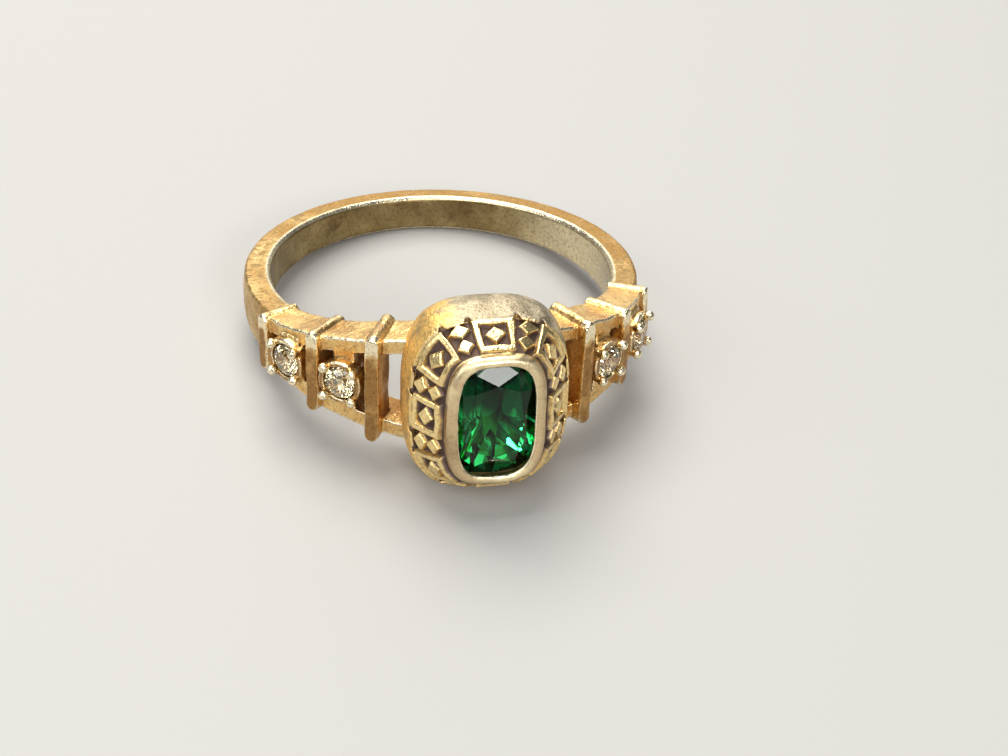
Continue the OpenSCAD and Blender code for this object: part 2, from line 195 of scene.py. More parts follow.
# One property of a mesh's points or edges, as rows of the given width
def readRows(items, label, width, kind=float):
    flat = np.empty(len(items) * width, kind)
    items.foreach_get(label, flat)
    return flat.reshape(-1, width)


# Puts a mesh's points at the given places
def movePoints(mesh, points):
    mesh.vertices.foreach_set("co", points.ravel())
    mesh.update()


# Each point moves part of the way to the mean of its neighbours, then a little more back, so nothing shrinks
def smoothed(points, edges, rounds, back=True):
    inwards, outwards = 0.5, -0.52
    count = len(points)
    first, second = edges[:, 0], edges[:, 1]
    degree = np.bincount(edges.ravel(), minlength=count)[:, None]
    total = np.empty_like(points)
    for pull in (inwards, outwards) * rounds if back else (inwards,) * rounds:
        for axis in range(3):
            fromSecond = np.bincount(first, points[second, axis], count)
            total[:, axis] = fromSecond + np.bincount(second, points[first, axis], count)
        points = points + pull * (total / degree - points)
    return points


# How far each point stands proud, along its normal, of its softened surroundings
def proudness(points, normals, edges, rounds):
    away = points - smoothed(points, edges, rounds, back=False)
    return (away * normals).sum(1)


# A new object in the scene
def addObject(name, data):
    thing = bpy.data.objects.new(name, data)
    bpy.context.scene.collection.objects.link(thing)
    return thing


# Overlapping shells become one skin of small quads with softened creases, as in a casting
def fused(name, shells, voxel, rounds):
    points, faces = joined(shells)
    draft = addObject(name + "_draft", makeMesh(name, points, faces))
    remesh = draft.modifiers.new("remesh", "REMESH")
    remesh.mode = "VOXEL"
    remesh.voxel_size = voxel
    skin = bpy.data.meshes.new_from_object(draft.evaluated_get(bpy.context.evaluated_depsgraph_get()))
    bpy.data.objects.remove(draft)
    edges = readRows(skin.edges, "vertices", 2, int)
    return skin, smoothed(readRows(skin.vertices, "co", 3), edges, rounds), edges


# A finished piece on the root body: smooth faces, its materials, and a number per point for each attribute
def addPiece(name, mesh, materials, values):
    for label, numbers in values.items():
        attribute = mesh.attributes.new(label, "FLOAT", "POINT")
        attribute.data.foreach_set("value", numbers.astype(np.float32))
    for material in materials:
        mesh.materials.append(material)
    mesh.polygons.foreach_set("use_smooth", np.ones(len(mesh.polygons), bool))
    piece = addObject(name, mesh)
    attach(piece, "root")
    return piece


# Materials


# A material and its Principled surface
def newMaterial(name):
    material = bpy.data.materials.new(name)
    material.use_nodes = True
    return material, material.node_tree.nodes["Principled BSDF"]


# A shader node: settings are its own properties, and each input takes a link or a plain value
def addNode(tree, kind, settings=None, inputs=None):
    node = tree.nodes.new("ShaderNode" + kind)
    for label, value in (settings or {}).items():
        setattr(node, label, value)
    for socket, value in (inputs or {}).items():
        if hasattr(value, "is_output"):
            tree.links.new(value, node.inputs[socket])
        else:
            node.inputs[socket].default_value = value
    return node


# A node group with named inputs and outputs, each a Color or a Float
def newGroup(name, inputs, outputs):
    tree = bpy.data.node_groups.new(name, "ShaderNodeTree")
    for direction, sockets in (("INPUT", inputs), ("OUTPUT", outputs)):
        for label, kind in sockets.items():
            tree.interface.new_socket(label, in_out=direction, socket_type="NodeSocket" + kind)
    return tree, tree.nodes.new("NodeGroupInput").outputs, tree.nodes.new("NodeGroupOutput")


# A node group placed in a material with its own values
def useGroup(tree, group, inputs):
    return addNode(tree, "Group", {"node_tree": group}, inputs).outputs


# The high colour by its share, and the low colour for the rest
def mixColour(tree, share, low, high):
    return addNode(tree, "Mix", {"data_type": "RGBA"}, {0: share, 6: low, 7: high}).outputs[2]


# A smooth step between two values of the input, scaled to run from one result to the other
def ramp(tree, value, fromLow, fromHigh, toLow=0.0, toHigh=1.0):
    inputs = {0: value, 1: fromLow, 2: fromHigh, 3: toLow, 4: toHigh}
    return addNode(tree, "MapRange", {"interpolation_type": "SMOOTHSTEP"}, inputs).outputs[0]


# One operation, such as a sum or a product, on two or three values
def maths(tree, operation, *values):
    return addNode(tree, "Math", {"operation": operation}, dict(enumerate(values))).outputs[0]


# Fractal noise at a place, of about 0 to 1
def noise(tree, place, scale, detail, roughness=0.5):
    inputs = {"Vector": place, "Scale": scale, "Detail": detail, "Roughness": roughness}
    return addNode(tree, "TexNoise", None, inputs).outputs[0]


# Pairs are where a mask starts and is full, and each noise has its detail and roughness
grainLook = {
    "broadNoise": (6.0, 0.6),
    "fineNoise": (3.0, 0.65),
    "mottle": (0.36, 0.66),
    "speckle": (0.45, 0.68),
    "pit": (0.0, 0.5),
    "pitHeight": 0.5,
}
tarnishAndPaintedLightLook = {
    "evenness": 0.45,
    "stained": (0.08, 0.75),
    # Edge values for the dark creases, painted shade with grime, and for the bright proud edges, wear with
    # painted highlight
    "deep": (0.44, 0.18),
    "proud": (0.55, 0.78),
    "stainDull": 0.8,
    "proudPolish": 0.7,
}


# Cast and handled metal: broad mottling, and a fine height of noise plus round pits
def buildCastGrain():
    tree, given, out = newGroup(
        "cast grain",
        {"Broad scale": "Float", "Fine scale": "Float"},
        {"Mottle": "Float", "Height": "Float", "Speckle": "Float"},
    )
    place = addNode(tree, "TexCoord").outputs["Object"]
    broad = noise(tree, place, given["Broad scale"], *grainLook["broadNoise"])
    fine = noise(tree, place, given["Fine scale"], *grainLook["fineNoise"])
    cells = addNode(tree, "TexVoronoi", None, {"Vector": place, "Scale": given["Fine scale"]})
    pits = ramp(tree, cells.outputs["Distance"], *grainLook["pit"])
    pitted = maths(tree, "MULTIPLY", pits, grainLook["pitHeight"])
    tree.links.new(ramp(tree, broad, *grainLook["mottle"]), out.inputs["Mottle"])
    tree.links.new(maths(tree, "ADD", fine, pitted), out.inputs["Height"])
    tree.links.new(ramp(tree, fine, *grainLook["speckle"]), out.inputs["Speckle"])
    return tree


# Tarnish and painted shade gather where their mask is high and break up with the mottling; a low edge value
# darkens creases with grime and painted shade, and a high one leaves proud edges bright with wear and painted
# highlight
def buildTarnishAndPaintedLight():
    colours = dict.fromkeys(("Metal", "WornAndHighlight", "StainAndShade", "Dark"), "Color")
    masks = dict.fromkeys(("Mask", "Edge", "Mottle"), "Float")
    tree, given, out = newGroup("tarnishAndPaintedLight", colours | masks, {"Color": "Color", "Dull": "Float"})
    look = tarnishAndPaintedLightLook
    broken = maths(tree, "MULTIPLY", maths(tree, "ADD", given["Mottle"], look["evenness"]), given["Mask"])
    stained = ramp(tree, broken, *look["stained"])
    deep = ramp(tree, given["Edge"], *look["deep"])
    proud = ramp(tree, given["Edge"], *look["proud"])
    colour = mixColour(tree, stained, given["Metal"], given["StainAndShade"])
    colour = mixColour(tree, deep, colour, given["Dark"])
    colour = mixColour(tree, proud, colour, given["WornAndHighlight"])
    dull = maths(tree, "MAXIMUM", maths(tree, "MULTIPLY", stained, look["stainDull"]), deep)
    polished = maths(tree, "MULTIPLY", proud, look["proudPolish"])
    tree.links.new(colour, out.inputs["Color"])
    tree.links.new(maths(tree, "SUBTRACT", dull, polished), out.inputs["Dull"])
    return tree


castGrain = buildCastGrain()
tarnishAndPaintedLight = buildTarnishAndPaintedLight()

castLook = {
    "metal": (0.72, 0.43, 0.15, 1),
    "mottled": (0.92, 0.66, 0.28, 1),
    # The worn colour is also laid on as painted highlight where an edge mask is raised for it
    "worn": (1.0, 0.88, 0.60, 1),  # on proud edges
    "stain": (0.40, 0.22, 0.075, 1),
    # The dark colour in the deepest recesses is painted shade as well as grime
    "dark": (0.09, 0.035, 0.015, 1),  # in the deepest recesses and the specks
    "broad": 900.0,  # scale of the mottling
    "fine": 6500.0,  # scale of the grain and its pits
    "speckle": 0.4,
    "roughness": 0.27,
    "dullness": 0.2,  # roughness added by stain
    "unevenness": 0.14,  # roughness added by the mottling
    "bump": 0.9,
    "grainHeight": 0.00003,
}


# One finish of the casting, by its changes to the cast look: mottled, stained and speckled metal, with
# painted shade and painted highlight laid in by its masks, and its roughness is the plain one plus shares of
# the stain and the mottling
def goldFinish(name, **changes):
    look = castLook | changes
    material, surface = newMaterial(name)
    tree = material.node_tree
    grain = useGroup(tree, castGrain, {"Broad scale": look["broad"], "Fine scale": look["fine"]})
    stained = useGroup(
        tree,
        tarnishAndPaintedLight,
        {
            "Metal": mixColour(tree, grain["Mottle"], look["metal"], look["mottled"]),
            "WornAndHighlight": look["worn"],
            "StainAndShade": look["stain"],
            "Dark": look["dark"],
            "Mask": addNode(tree, "Attribute", {"attribute_name": "stain"}).outputs["Fac"],
            "Edge": addNode(tree, "Attribute", {"attribute_name": "edge"}).outputs["Fac"],
            "Mottle": grain["Mottle"],
        },
    )
    specks = maths(tree, "MULTIPLY", grain["Speckle"], look["speckle"])
    tree.links.new(mixColour(tree, specks, stained["Color"], look["dark"]), surface.inputs["Base Color"])
    shade = maths(tree, "MULTIPLY_ADD", stained["Dull"], look["dullness"], look["roughness"])
    roughness = maths(tree, "MULTIPLY_ADD", grain["Mottle"], look["unevenness"], shade)
    tree.links.new(roughness, surface.inputs["Roughness"])
    relief = {"Strength": look["bump"], "Distance": look["grainHeight"], "Height": grain["Height"]}
    tree.links.new(addNode(tree, "Bump", None, relief).outputs[0], surface.inputs["Normal"])
    surface.inputs["Metallic"].default_value = 1.0
    return material


shoulderGold = goldFinish("shoulder gold")
shankGold = goldFinish(
    "shank gold",
    metal=(0.46, 0.29, 0.09, 1),
    mottled=(0.86, 0.61, 0.27, 1),
    stain=(0.42, 0.25, 0.08, 1),
    broad=2400.0,
    fine=7000.0,
    bump=0.7,
    roughness=0.34,
)
insideGold = goldFinish(
    "inside gold",
    metal=(0.26, 0.185, 0.075, 1),
    mottled=(0.44, 0.34, 0.16, 1),
    stain=(0.17, 0.11, 0.045, 1),
    fine=6000.0,
    bump=0.15,
    roughness=0.3,
)
pocketGold = goldFinish(
    "pocket gold",
    metal=(0.45, 0.30, 0.13, 1),
    mottled=(0.60, 0.42, 0.20, 1),
    speckle=0.0,
    bump=0.0,
    roughness=0.4,
)
# The wall's metal is grey, and its stain colour is a yellow gold laid over most of it
headWallGold = goldFinish(
    "head wall gold",
    metal=(0.36, 0.30, 0.20, 1),
    mottled=(0.62, 0.54, 0.38, 1),
    stain=(0.95, 0.62, 0.20, 1),
    dark=(0.14, 0.10, 0.06, 1),
    broad=1400.0,
    fine=7000.0,
    speckle=0.5,
    roughness=0.52,
    dullness=-0.12,
    unevenness=0.18,
)
reliefGold = goldFinish(
    "relief gold",
    metal=(0.78, 0.52, 0.18, 1),
    mottled=(0.94, 0.70, 0.30, 1),
    worn=(0.98, 0.76, 0.36, 1),
    stain=(0.27, 0.20, 0.165, 1),
    dark=(0.12, 0.08, 0.065, 1),
    bump=0.5,
    roughness=0.34,
    dullness=0.25,
)
bezelGold = goldFinish(
    "bezel gold",
    metal=(0.70, 0.52, 0.30, 1),
    mottled=(1.0, 0.86, 0.52, 1),
    stain=(0.50, 0.36, 0.20, 1),
    broad=800.0,
    unevenness=0.22,
    bump=0.3,
    speckle=0.15,
    roughness=0.28,
)

# Streaks drawn out along the finger, painted as reflections in a stone's colour, and smears of wear on its
# faces
stoneMarks = {
    "drawnOut": (1.0, 1.0, 0.15),
    "streaks": (1500.0, 3.0),  # scale and detail
    "smears": (900.0, 4.0),
    "smear": (0.52, 0.75),
    "film": (0.008, 0.05),  # roughness of a clean face and of a smear
}


# Painted shade in a stone's colour: light to deep by Z plus shares of X and of the streaks, which are painted
# reflections, and a faint film of wear
def buildStoneShadeAndFilm():
    colours = dict.fromkeys(("Light", "Deep"), "Color")
    numbers = dict.fromkeys(("From", "To", "Across", "Streaks"), "Float")
    tree, given, out = newGroup("stone shade and film", colours | numbers, {"Color": "Color", "Film": "Float"})
    place = addNode(tree, "TexCoord").outputs["Object"]
    parts = addNode(tree, "SeparateXYZ", None, {0: place}).outputs
    stretched = {0: place, 1: stoneMarks["drawnOut"]}
    drawn = addNode(tree, "VectorMath", {"operation": "MULTIPLY"}, stretched).outputs[0]
    streaks = noise(tree, drawn, *stoneMarks["streaks"])
    sloped = maths(tree, "MULTIPLY_ADD", parts["X"], given["Across"], parts["Z"])
    zone = maths(tree, "MULTIPLY_ADD", streaks, given["Streaks"], sloped)
    shade = ramp(tree, zone, given["From"], given["To"])
    smears = noise(tree, place, *stoneMarks["smears"])
    film = ramp(tree, smears, *stoneMarks["smear"], *stoneMarks["film"])
    tree.links.new(mixColour(tree, shade, given["Light"], given["Deep"]), out.inputs["Color"])
    tree.links.new(film, out.inputs["Film"])
    return tree


stoneShadeAndFilm = buildStoneShadeAndFilm()


# A cut stone: coloured glass with a hard surface; the named zone values set the painted shade in its colour
def stoneFinish(name, sheen, ior, **zones):
    material, surface = newMaterial(name)
    paintedShade = useGroup(material.node_tree, stoneShadeAndFilm, zones)
    material.node_tree.links.new(paintedShade["Color"], surface.inputs["Base Color"])
    material.node_tree.links.new(paintedShade["Film"], surface.inputs["Roughness"])
    surface.inputs["Specular Tint"].default_value = sheen
    surface.inputs["Transmission Weight"].default_value = 1.0
    surface.inputs["IOR"].default_value = ior
    return material


# The green runs to near black higher up and towards +X as painted shade, with streaks of painted reflection
greenStone = stoneFinish(
    "green stone",
    sheen=(0.42, 0.42, 0.40, 1),
    ior=1.6,
    Light=(0.03, 0.86, 0.20, 1),
    Deep=(0.0001, 0.006, 0.002, 1),
    From=0.0047,
    To=0.0076,
    Across=0.4,
    Streaks=0.004,
)
# The warm tint, deeper higher up, is a painted reflection of the gold round the clear stones
clearStone = stoneFinish(
    "clear stone",
    sheen=(1, 1, 1, 1),
    ior=2.0,
    Light=(1.0, 0.94, 0.70, 1),
    Deep=(1.0, 0.83, 0.46, 1),
    From=0.003,
    To=0.009,
    Across=0.0,
    Streaks=0.006,
)
print("materials made")

# Shank
shank = {
    "bevel": 0.16,
    "bevelRounding": 0.25,  # share of a quarter circle in the bevel, and the rest is straight
    "edgeRound": 0.18,
    "dome": 0.08,
    "pathSteps": 560,
    "roundSteps": 9,
    "sideSteps": 7,
    "crownSteps": 13,
    "endAngle": 63.0,
    "innerDepth": 0.03,  # how far up the bevel the inner face's finish goes
    "waver": 0.007,
    "lumps": 0.002,
    "seed": 3,
}
# Soil runs from 0 to 1, pairs are where a mask starts and is full, and an edge over 0.5 takes the bright worn
# colour, here as painted highlight
shankWear = {
    "soil": 0.3,
    "patches": 0.3,
    "patchSize": 2.5,
    "seed": 11,
    # Darker towards the back and right of the band
    "backDarkening": 0.42,
    "backAlong": (-9.0, 9.0),
    "rightLighter": 0.8,
    "rightAlong": (3.0, 8.0),
    "bevelStart": (0.0, 0.05),
    "bevelEnd": (0.21, 0.17),
    # Painted highlight along the finger hole's bevel, and a lift of the inner face on the right
    "bright": 0.4,
    "rightBright": 0.45,
}
endAngle = math.radians(shank["endAngle"])


# The upper edge of the band, from the finger hole's bevel up its side to a quarter circle at the outer crown
def bandEdge(half, outer):
    low, bevel, edge, rounding = ring["holeR"], shank["bevel"], shank["edgeRound"], shank["bevelRounding"]
    turn = np.linspace(0, np.pi / 2, shank["roundSteps"])
    across = np.linspace(0, 1, shank["sideSteps"])[1:-1]
    flat = turn / (np.pi / 2)
    bevelR = low + bevel * (rounding * (1 - np.cos(turn)) + (1 - rounding) * flat) + 0 * half
    bevelZ = half - bevel * (rounding * (1 - np.sin(turn)) + (1 - rounding) * (1 - flat))
    sideR = low + bevel + (outer - edge - low - bevel) * across
    sideZ = half + 0 * sideR
    roundR = outer - edge * (1 - np.sin(turn))
    roundZ = half - edge * (1 - np.cos(turn))
    return np.concatenate([bevelR, sideR, roundR], 1), np.concatenate([bevelZ, sideZ, roundZ], 1)


# The band's cross section: an edge, a low crown, the mirrored edge and the flat inner face
def bandSections(angles):
    half = halfWidth(angles)[:, None]
    outer = shankR(angles)[:, None]
    edgeR, edgeZ = bandEdge(half, outer)
    across = np.linspace(1, -1, shank["crownSteps"])[1:-1]
    crownR = outer + shank["dome"] * (1 - across**2)
    crownZ = (half - shank["edgeRound"]) * across
    faceZ = -(half - shank["bevel"]) * across
    faceR = ring["holeR"] + 0 * faceZ
    radius = np.concatenate([edgeR, crownR, edgeR[:, ::-1], faceR], 1)
    height = np.concatenate([edgeZ, crownZ, -edgeZ[:, ::-1], faceZ], 1)
    return onRing(angles[:, None], radius, height)


# Soil in patches, darker towards the back and right, none on the bevel, which has a painted highlight, and
# the inner face lighter on the right
def shankValues(points, inset):
    wear = shankWear
    onBevel = smoothStep(*wear["bevelStart"], inset) * smoothStep(*wear["bevelEnd"], inset)
    onInner = inset < shank["innerDepth"]
    onRight = smoothStep(*wear["rightAlong"], points[:, 0]) * onInner
    backDarkening = wear["backDarkening"] * smoothStep(*wear["backAlong"], points[:, 0] + points[:, 1]) * ~onInner
    patches = wear["soil"] + wear["patches"] * lumps(points, wear["patchSize"], wear["seed"])
    soil = np.clip(patches + backDarkening, 0, 1) * (1 - wear["rightLighter"] * onRight)
    # Painted highlight along the bevel; the inner face on the right is lifted too
    bright = wear["bright"] * np.maximum(onBevel, wear["rightBright"] * onRight)
    return {"stain": soil * (1 - onBevel), "edge": 0.5 + bright}


# The band swept round the open side of the ring, with its inner face in a darker gold
def buildShank():
    angles = np.linspace(endAngle, 2 * np.pi - endAngle, shank["pathSteps"])
    sections = bandSections(angles)
    inset = np.hypot(sections[..., 0], sections[..., 1]).ravel() - ring["holeR"]
    points, faces = sweep(worn(sections, shank["seed"], shank["waver"], shank["lumps"]))
    mesh = makeMesh("ring_shank", toRowInBox(points), faces)
    piece = addPiece("ring_shank", mesh, [shankGold, insideGold], shankValues(points, inset))
    quads = np.array(faces[:-2])
    isInner = inset[quads].max(1) < shank["innerDepth"]
    mesh.polygons.foreach_set("material_index", np.r_[isInner, False, False].astype(np.int32))
    return piece


ringShank = buildShank()
print("shank made", len(ringShank.data.polygons))

# Shoulders: rails, cross bars, collets with their webs, and prongs, all cast as one
shoulder = {
    "railWidth": 0.75,
    "railStart": 11.0,
    "railFrontHeight": 2.15,
    "railSideHeight": 1.4,
    "railRound": 0.09,
    "railInnerDrop": 0.3,  # of the rounding
    "railReach": 1.03,  # how far the rails run over the shank's end
    "railSteps": 70,
    "railRoundSteps": 6,
    "railSideSteps": 8,
    "barWidth": 0.68,
    "barClear": 1.0,  # how far the bars' beams stand clear of the finger hole
    "barAngles": (27.2, 44.2, 64.5),
    "barLengths": (5.4, 4.1, 2.9),
    "barHeights": (2.6, 2.3, 2.0),
    "barRound": 0.12,
    "barRoundMiddle": 0.035,
    "barSteps": 13,  # round each end
    "overlap": 0.1,
    "inset": 0.02,
    "voxel": 0.057,
    "smoothRounds": 3,
    "waver": 0.024,
    "lumps": 0.011,
    "seed": 21,
}
sideStone = {
    "diameter": 1.55,
    "gap": 0.06,
    "wall": 0.24,
    "angles": (35.7, 52.929),
    "girdleHeights": (2.4, 2.2),
    "girdleThick": 0.06,
    "ledgeShare": 0.17,
    "rimHeight": 0.07,
    "rimChamfer": 0.05,
    "beadR": 0.25,
    "beadSteps": 13,
    "prongSteps": 20,  # round a prong
    "colletSteps": 48,
    "prongTurns": (45, 135, 225, 315),
    "prongClear": 1.1,  # in gaps
    "prongDepth": 0.8,
}
web = {"width": 1.05, "low": 0.4, "high": 1.95, "overlap": 0.05}
# Pairs are where a mask starts and is full, most in millimetres, and an edge over 0.5 takes the bright worn
# colour, as wear and as painted highlight
shoulderWear = {
    "proudRounds": 14,
    "proudHeight": 0.12,  # height of an edge that is fully worn
    "soil": 0.1,
    # Tarnish with painted shade below the bars' tops
    "depthTarnishAndShade": 0.75,
    "depth": (0.3, 1.5),
    "inside": (0.1, 0.6),
    "seatClean": (0.02, 0.12),
    # Painted shade on the bars' outer faces
    "barShade": 0.85,
    "barFacing": (0.6, 0.95),
    "barNear": (0.35, 0.15),
    "barAlong": (0.0, 1.6),
    "barPatches": 0.4,
    "patchSize": 0.7,
    "seed": 61,
    # Painted shade on the bars' outer faces through the edge value
    "barEdgeShade": 0.1,
    # Painted highlight on the bars' ends above the rails
    "endHighlight": 0.3,
    "endAbove": (0.05, 0.25),
    "endNear": (0.9, 0.2),
    "hiddenPush": 0.08,  # rail ends keep outside the head's inner face
    "hiddenAngles": (22, 19),
}


# Outer radius of the rails: a circle set forward from the finger hole's centre
def railTop(angle):
    wide = ring["holeR"] + shoulder["railSideHeight"]
    shift = shoulder["railFrontHeight"] - shoulder["railSideHeight"]
    return shift * np.cos(angle) + np.sqrt(wide**2 - (shift * np.sin(angle)) ** 2)


# Turns local X across, Y along the finger and Z outwards to an angle from the head
def facing(points, angle):
    x, y, z = points[..., 0], points[..., 1], points[..., 2]
    return np.stack([x * np.cos(angle) + z * np.sin(angle), x * np.sin(angle) - z * np.cos(angle), y], -1)


# A bar's outline with round ends, between two heights along the finger
def stadium(width, low, high):
    steps, radius = shoulder["barSteps"], width / 2
    turn = np.add.outer((0, np.pi), np.linspace(0, np.pi, steps)).ravel()
    end = np.repeat((high, low), steps)
    inwards = np.repeat((-radius, radius), steps)
    return np.stack([radius * np.cos(turn), radius * np.sin(turn) + end + inwards], -1)


# An outline carried outwards through levels of a distance and an inset from the outline
def raised(outline, levels):
    centre = (outline.max(0) + outline.min(0)) / 2
    size = (outline.max(0) - outline.min(0)) / 2
    sections = []
    for distance, inset in levels:
        narrowed = centre + (outline - centre) * (1 - inset / size)
        sections.append(np.c_[narrowed, np.full(len(outline), distance)])
    return np.array(sections)


# A cross bar: a long beam clear of the finger hole, with a rounded top, and a foot on each rail
def barShells(angle, length, height):
    hole, width, overlap = ring["holeR"], shoulder["barWidth"], shoulder["overlap"]
    rounding, middle = shoulder["barRound"], shoulder["barRoundMiddle"]
    top = hole + height
    under = hole + shoulder["barClear"]
    beam = [(under, 0), (top - rounding, 0), (top - middle, middle), (top, rounding)]
    shells = [sweep(facing(raised(stadium(width, -length / 2, length / 2), beam), angle))]
    railInside = halfWidth(angle) - shoulder["railWidth"]
    inner = min(railInside, length / 2 - width)
    for side in (-1, 1):
        outline = stadium(width, *sorted((side * inner, side * length / 2)))
        shells.append(sweep(facing(raised(outline, [(hole, 0), (under + overlap, 0)]), angle)))
    return shells


# A rail's section: the bevelled edge of the finger hole, a flat side, a rounded top and the inner face
def railShells(start, end):
    angles = np.linspace(start, end, shoulder["railSteps"])[:, None]
    hole, rounding, bevel = ring["holeR"], shoulder["railRound"], shank["bevel"]
    top = railTop(angles)
    half = halfWidth(angles)
    turn = np.linspace(0, np.pi / 2, shoulder["railRoundSteps"])
    up = np.linspace(0, 1, shoulder["railSideSteps"])[1:-1]
    bevelR = hole + bevel * (1 - np.cos(turn)) + 0 * top
    flatR = hole + bevel + (top - rounding - hole - bevel) * up
    roundR = top - rounding * (1 - np.sin(turn))
    inset = np.r_[bevel * (1 - np.sin(turn)), 0 * up, rounding * (1 - np.cos(turn))] + shoulder["inset"]
    innerR = np.concatenate([top - rounding * shoulder["railInnerDrop"], (top + hole) / 2, hole + 0 * top], 1)
    innerZ = half - shoulder["railWidth"] + 0 * innerR
    radius = np.concatenate([bevelR, flatR, roundR, innerR], 1)
    height = np.concatenate([half - inset, innerZ], 1)
    return [sweep(onRing(angles, radius, side * height)) for side in (-1, 1)]


# A profile of radius and distance turned round its own axis
def turned(profile, steps):
    turn = np.linspace(0, 2 * np.pi, steps, endpoint=False)[:, None]
    profile = np.array(profile)
    wide = profile[None, :, 0]
    return np.stack([wide * np.cos(turn), wide * np.sin(turn), profile[None, :, 1] + 0 * turn], -1)


# A collet: a turned wall with a ledge under the girdle, and a web to each rail
def colletShells(angle, girdle):
    hole, gap, chamfer = ring["holeR"], sideStone["gap"], sideStone["rimChamfer"]
    stoneR = sideStone["diameter"] / 2
    seatR = stoneR + gap
    outR = seatR + sideStone["wall"]
    ledge = sideStone["ledgeShare"] * stoneR
    ledgeTop = girdle - sideStone["girdleThick"] - ledge - gap
    rim = girdle + sideStone["rimHeight"]
    outside = [(stoneR - ledge, hole), (outR, hole), (outR, rim - chamfer), (outR - chamfer, rim)]
    inside = [(seatR, rim), (seatR, ledgeTop), (stoneR - ledge, ledgeTop)]
    rings = turned(outside + inside, sideStone["colletSteps"])
    shells = [sweep(facing(rings, angle), closed=True)]
    rail = halfWidth(angle) - shoulder["railWidth"] / 2
    corner = np.array([(-1, 0), (1, 0), (1, 1), (-1, 1)], float)
    levels = [(hole + web["low"], 0), (hole + web["high"], 0)]
    for side in (-1, 1):
        near, far = side * (seatR + web["overlap"]), side * rail
        outline = np.c_[corner[:, 0] * web["width"] / 2, near + corner[:, 1] * (far - near)]
        shells.append(sweep(facing(raised(outline, levels), angle)))
    return shells


# Four prongs round a stone, each a post that ends in a bead over the girdle
def prongShells(angle, girdle):
    gap, beadR = sideStone["gap"], sideStone["beadR"]
    offset = (beadR + sideStone["prongClear"] * gap) * math.cos(math.pi / 4)
    latitudes = np.linspace(-np.pi / 2, np.pi / 2, sideStone["beadSteps"])[1:-1]
    bead = [(beadR * math.cos(latitude), offset + beadR * math.sin(latitude)) for latitude in latitudes]
    post = [(offset - gap, -sideStone["prongDepth"]), (offset - gap, offset)]
    away = sideStone["diameter"] / 2 + offset
    shells = []
    for turn in np.radians(sideStone["prongTurns"]):
        place = np.array([math.cos(turn), math.sin(turn), 0]) * away + [0, 0, girdle]
        for profile in (bead, post):
            rings = np.swapaxes(turned(profile, sideStone["prongSteps"]), 0, 1)
            shells.append(sweep(facing(rings + place, angle)))
    return shells


# Tarnish with painted shade gathers below the bars' tops but not in the seats, painted shade darkens the
# bars' outer faces, proud edges are bright with wear and painted highlight, and the bars' ends above the
# rails get a painted highlight
def shoulderValues(side, points, normals, proud):
    wear = shoulderWear
    angle = np.arctan2(points[:, 0], -points[:, 1])
    radius = np.hypot(points[:, 0], points[:, 1])
    half = halfWidth(angle)
    barAngles = np.radians(shoulder["barAngles"])
    tops = ring["holeR"] + np.interp(np.abs(angle), barAngles, shoulder["barHeights"])
    inside = smoothStep(*wear["inside"], half - np.abs(points[:, 2]))
    # Tarnish with painted shade by depth below the bars' tops
    depth = smoothStep(*wear["depth"], tops - radius) * inside
    seat = sideStone["diameter"] / 2 + sideStone["gap"] + np.array(wear["seatClean"])
    for stoneAngle in np.radians(sideStone["angles"]) * side:
        across = points[:, 0] * math.cos(stoneAngle) + points[:, 1] * math.sin(stoneAngle)
        depth *= smoothStep(*seat, np.hypot(across, points[:, 2]))
    outwards = (normals[:, :2] * points[:, :2]).sum(1) / radius
    # Painted shade on the bars' outer faces
    barFaceShade = smoothStep(*wear["barFacing"], outwards) * smoothStep(*wear["barNear"], np.abs(tops - radius))
    patches = wear["barPatches"] * lumps(points, wear["patchSize"], wear["seed"])
    barFaceShade *= smoothStep(*wear["barAlong"], half - points[:, 2] + patches)
    # Painted highlight on the bars' ends above the rails
    barEndHighlight = smoothStep(*wear["endAbove"], radius - railTop(angle))
    barEndHighlight *= smoothStep(*wear["endNear"], half - points[:, 2])
    stain = wear["soil"] + wear["depthTarnishAndShade"] * depth + wear["barShade"] * barFaceShade
    edge = 0.5 + proud / wear["proudHeight"] - wear["barEdgeShade"] * barFaceShade + wear["endHighlight"] * barEndHighlight
    return {"stain": np.clip(stain, 0, 1), "edge": np.clip(edge, 0, 1)}


# Worn points, with the rail ends under the head pushed outwards from the finger hole
def shoulderWorn(side, points):
    angle = np.abs(np.arctan2(points[:, 0], -points[:, 1]))
    radius = np.hypot(points[:, 0], points[:, 1])
    underHead = smoothStep(*np.radians(shoulderWear["hiddenAngles"]), angle)
    hidden = ring["holeR"] + shoulderWear["hiddenPush"] * underHead
    points = worn(points, shoulder["seed"] + side, shoulder["waver"], shoulder["lumps"])
    points[:, :2] *= np.maximum(1, hidden / radius)[:, None]
    return points


# One side's rails, bars, collets and prongs, fused and worn
def buildShoulder(side, name):
    shells = railShells(math.radians(shoulder["railStart"]) * side, endAngle * shoulder["railReach"] * side)
    bars = zip(np.radians(shoulder["barAngles"]) * side, shoulder["barLengths"], shoulder["barHeights"])
    for angle, length, height in bars:
        shells += barShells(angle, length, height)
    for angle, height in zip(np.radians(sideStone["angles"]) * side, sideStone["girdleHeights"]):
        shells += colletShells(angle, ring["holeR"] + height)
        shells += prongShells(angle, ring["holeR"] + height)
    mesh, points, edges = fused(name, shells, shoulder["voxel"], shoulder["smoothRounds"])
    movePoints(mesh, points)
    normals = readRows(mesh.vertices, "normal", 3)
    proud = proudness(points, normals, edges, shoulderWear["proudRounds"])
    values = shoulderValues(side, points, normals, proud)
    movePoints(mesh, toRowInBox(shoulderWorn(side, points)))
    return addPiece(name, mesh, [shoulderGold], values)


